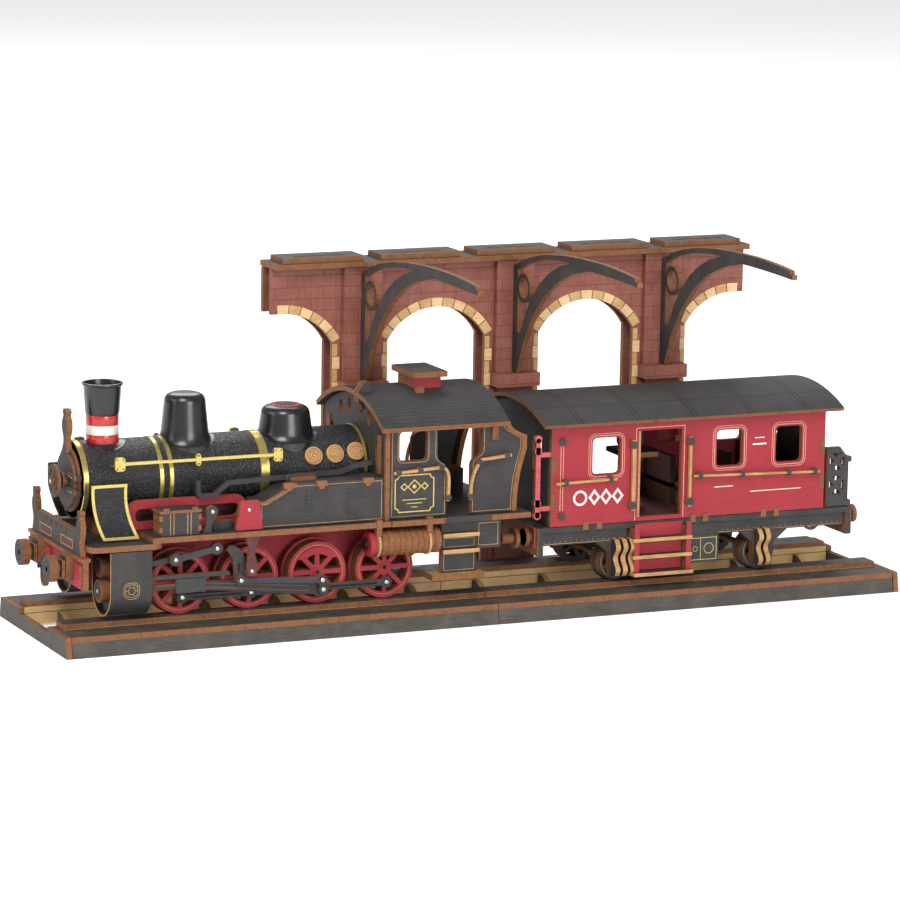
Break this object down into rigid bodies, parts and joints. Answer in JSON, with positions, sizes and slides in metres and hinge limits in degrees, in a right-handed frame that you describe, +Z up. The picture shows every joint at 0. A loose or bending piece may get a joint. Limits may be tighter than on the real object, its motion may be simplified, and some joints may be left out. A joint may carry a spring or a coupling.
{
  "type": "wooden railway jigsaw model",
  "caption": "Laser-cut plywood jigsaw model of a tank locomotive and a coach on a piece of track, with an arcade wall and gallows brackets behind.",
  "frame": {"origin": "on the table, below the middle of the model's outline", "axes": "+X along the track from the locomotive's buffers to the coach, +Y from the near side to the arcade, +Z up"},
  "size_m": [0.39, 0.1406, 0.1538],
  "materials": {
    "ballast_print": "matt grey print on plywood",
    "bare_wood": "bare basswood plywood",
    "brick_print": "brick print on plywood",
    "cream_print": "cream print on plywood",
    "grey_print": "dark grey print on plywood",
    "red_print": "red print on plywood",
    "rod_print": "dark print on plywood",
    "burnt_wood": "laser-cut edge",
    "boiler_leather": "grained black leather paper",
    "gloss_black": "smooth black cap",
    "gloss_red": "red band",
    "gloss_white": "white band",
    "gold_foil": "gold print",
    "pin_steel": "pin heads"
  },
  "bodies": {
    "track_and_arcade": {"ballast_near_front": "ballast_print", "ballast_far_front": "ballast_print", "sleeper_ladder_front": "bare_wood", "end_plate_front": "ballast_print", "ballast_near_rear": "ballast_print", "ballast_far_rear": "ballast_print", "sleeper_ladder_rear": "bare_wood", "end_plate_rear": "ballast_print", "arcade_front_wall": "brick_print", "arcade_back_wall": "brick_print", "arcade_pier_1": "brick_print", "arcade_pier_2": "brick_print", "arcade_pier_3": "brick_print", "gallows_bracket_1": "grey_print", "gallows_bracket_2": "grey_print", "gallows_bracket_3": "grey_print", "arcade_cornice": "grey_print"},
    "locomotive": {"chassis_frame": "red_print", "buffer_beam": "red_print", "running_board": "grey_print", "boiler": "boiler_leather", "chimney": "gloss_black", "front_dome": "gloss_black", "rear_dome": "gloss_black", "cab_front_wall": "grey_print", "cab_floor": "grey_print", "cab_roof": "grey_print", "cab_ventilator": "burnt_wood", "side_tank_near": "grey_print", "cab_side_near": "grey_print", "cylinder_near": "grey_print", "air_tank_near": "burnt_wood", "side_tank_far": "grey_print", "cab_side_far": "grey_print", "cylinder_far": "grey_print", "air_tank_far": "burnt_wood"},
    "coach": {"coach_side_near": "red_print", "coach_side_far": "red_print", "coach_end_front": "grey_print", "coach_end_rear": "grey_print", "coach_underframe": "grey_print", "coach_roof": "grey_print"},
    "wheelset_1": {"driving_wheelset_1": "red_print"},
    "wheelset_2": {"driving_wheelset_2": "red_print"},
    "wheelset_3": {"driving_wheelset_3": "red_print"},
    "wheelset_4": {"driving_wheelset_4": "red_print"},
    "smokebox_door": {"smokebox_door": "grey_print"},
    "front_ring_link": {"front_ring_link": "burnt_wood"},
    "coupling_rod_near": {"coupling_rod_near": "rod_print"},
    "main_rod_near": {"main_rod_near": "rod_print"},
    "crosshead_near": {"crosshead_near": "rod_print"},
    "eccentric_rod_near": {"eccentric_rod_near": "rod_print"},
    "expansion_link_near": {"expansion_link_near": "rod_print"},
    "coupling_rod_far": {"coupling_rod_far": "rod_print"},
    "main_rod_far": {"main_rod_far": "rod_print"},
    "crosshead_far": {"crosshead_far": "rod_print"},
    "eccentric_rod_far": {"eccentric_rod_far": "rod_print"},
    "expansion_link_far": {"expansion_link_far": "rod_print"},
    "coach_axle_front": {"coach_wheelset_front": "rod_print"},
    "coach_axle_rear": {"coach_wheelset_rear": "rod_print"}
  },
  "joints": [
    {"name": "loco_roll", "type": "slide", "parent": "track_and_arcade", "child": "locomotive", "axis": [1, 0, 0], "range_m": [-0.03, 0.03]},
    {"name": "coach_roll", "type": "slide", "parent": "track_and_arcade", "child": "coach", "axis": [1, 0, 0], "range_m": [-0.03, 0.03]},
    {"name": "axle_3_spin", "type": "hinge", "parent": "locomotive", "child": "wheelset_3", "pos_m": [-0.0764, 0.01015, 0.0244], "axis": [0, 1, 0], "continuous": true},
    {"name": "axle_1_spin", "type": "hinge", "parent": "locomotive", "child": "wheelset_1", "pos_m": [-0.1382, 0.01015, 0.0244], "axis": [0, 1, 0], "continuous": true},
    {"name": "axle_2_spin", "type": "hinge", "parent": "locomotive", "child": "wheelset_2", "pos_m": [-0.1073, 0.01015, 0.0244], "axis": [0, 1, 0], "continuous": true},
    {"name": "axle_4_spin", "type": "hinge", "parent": "locomotive", "child": "wheelset_4", "pos_m": [-0.0455, 0.01015, 0.0244], "axis": [0, 1, 0], "continuous": true},
    {"name": "coupling_rod_near_turn", "type": "hinge", "parent": "wheelset_3", "child": "coupling_rod_near", "pos_m": [-0.0764, -0.01785, 0.0183], "axis": [0, 1, 0], "continuous": true},
    {"name": "main_rod_near_turn", "type": "hinge", "parent": "wheelset_3", "child": "main_rod_near", "pos_m": [-0.0764, -0.01785, 0.0183], "axis": [0, 1, 0], "continuous": true},
    {"name": "eccentric_rod_near_turn", "type": "hinge", "parent": "wheelset_3", "child": "eccentric_rod_near", "pos_m": [-0.0779, -0.01785, 0.0231], "axis": [0, 1, 0], "continuous": true},
    {"name": "crosshead_near_slide", "type": "slide", "parent": "locomotive", "child": "crosshead_near", "axis": [1, 0, 0], "range_m": [-0.00642, 0.00578]},
    {"name": "expansion_link_near_swing", "type": "hinge", "parent": "locomotive", "child": "expansion_link_near", "pos_m": [-0.1149, -0.02065, 0.034], "axis": [0, 1, 0], "range_deg": [-24.1, 3.2]},
    {"name": "coupling_rod_far_turn", "type": "hinge", "parent": "wheelset_3", "child": "coupling_rod_far", "pos_m": [-0.0703, 0.03815, 0.0244], "axis": [0, 1, 0], "continuous": true},
    {"name": "main_rod_far_turn", "type": "hinge", "parent": "wheelset_3", "child": "main_rod_far", "pos_m": [-0.0703, 0.03815, 0.0244], "axis": [0, 1, 0], "continuous": true},
    {"name": "eccentric_rod_far_turn", "type": "hinge", "parent": "wheelset_3", "child": "eccentric_rod_far", "pos_m": [-0.0751, 0.03815, 0.0229], "axis": [0, 1, 0], "continuous": true},
    {"name": "crosshead_far_slide", "type": "slide", "parent": "locomotive", "child": "crosshead_far", "axis": [1, 0, 0], "range_m": [-0.0122, 0]},
    {"name": "expansion_link_far_swing", "type": "hinge", "parent": "locomotive", "child": "expansion_link_far", "pos_m": [-0.1149, 0.04095, 0.034], "axis": [0, 1, 0], "range_deg": [-5, 22.4]},
    {"name": "smokebox_door_hinge", "type": "hinge", "parent": "locomotive", "child": "smokebox_door", "pos_m": [-0.1795, -0.00445, 0.0664], "axis": [0, 0, 1], "range_deg": [0, 100]},
    {"name": "front_ring_swing", "type": "hinge", "parent": "locomotive", "child": "front_ring_link", "pos_m": [-0.1896, 0.01015, 0.0316], "axis": [0, 1, 0], "range_deg": [-20, 40]},
    {"name": "coach_axle_front_spin", "type": "hinge", "parent": "coach", "child": "coach_axle_front", "pos_m": [0.064, 0.01015, 0.0192], "axis": [0, 1, 0], "continuous": true},
    {"name": "coach_axle_rear_spin", "type": "hinge", "parent": "coach", "child": "coach_axle_rear", "pos_m": [0.134, 0.01015, 0.0192], "axis": [0, 1, 0], "continuous": true}
  ],
  "couplings": [
    {"joint": "coach_roll", "follows": "loco_roll", "ratio": 1},
    {"joint": "axle_1_spin", "follows": "axle_3_spin", "ratio": 1},
    {"joint": "axle_2_spin", "follows": "axle_3_spin", "ratio": 1},
    {"joint": "axle_4_spin", "follows": "axle_3_spin", "ratio": 1},
    {"joint": "coupling_rod_near_turn", "follows": "axle_3_spin", "ratio": -1},
    {"joint": "main_rod_near_turn", "follows": "axle_3_spin", "ratio": -1},
    {"joint": "eccentric_rod_near_turn", "follows": "axle_3_spin", "ratio": -1},
    {"joint": "coupling_rod_far_turn", "follows": "axle_3_spin", "ratio": -1},
    {"joint": "main_rod_far_turn", "follows": "axle_3_spin", "ratio": -1},
    {"joint": "eccentric_rod_far_turn", "follows": "axle_3_spin", "ratio": -1}
  ]
}
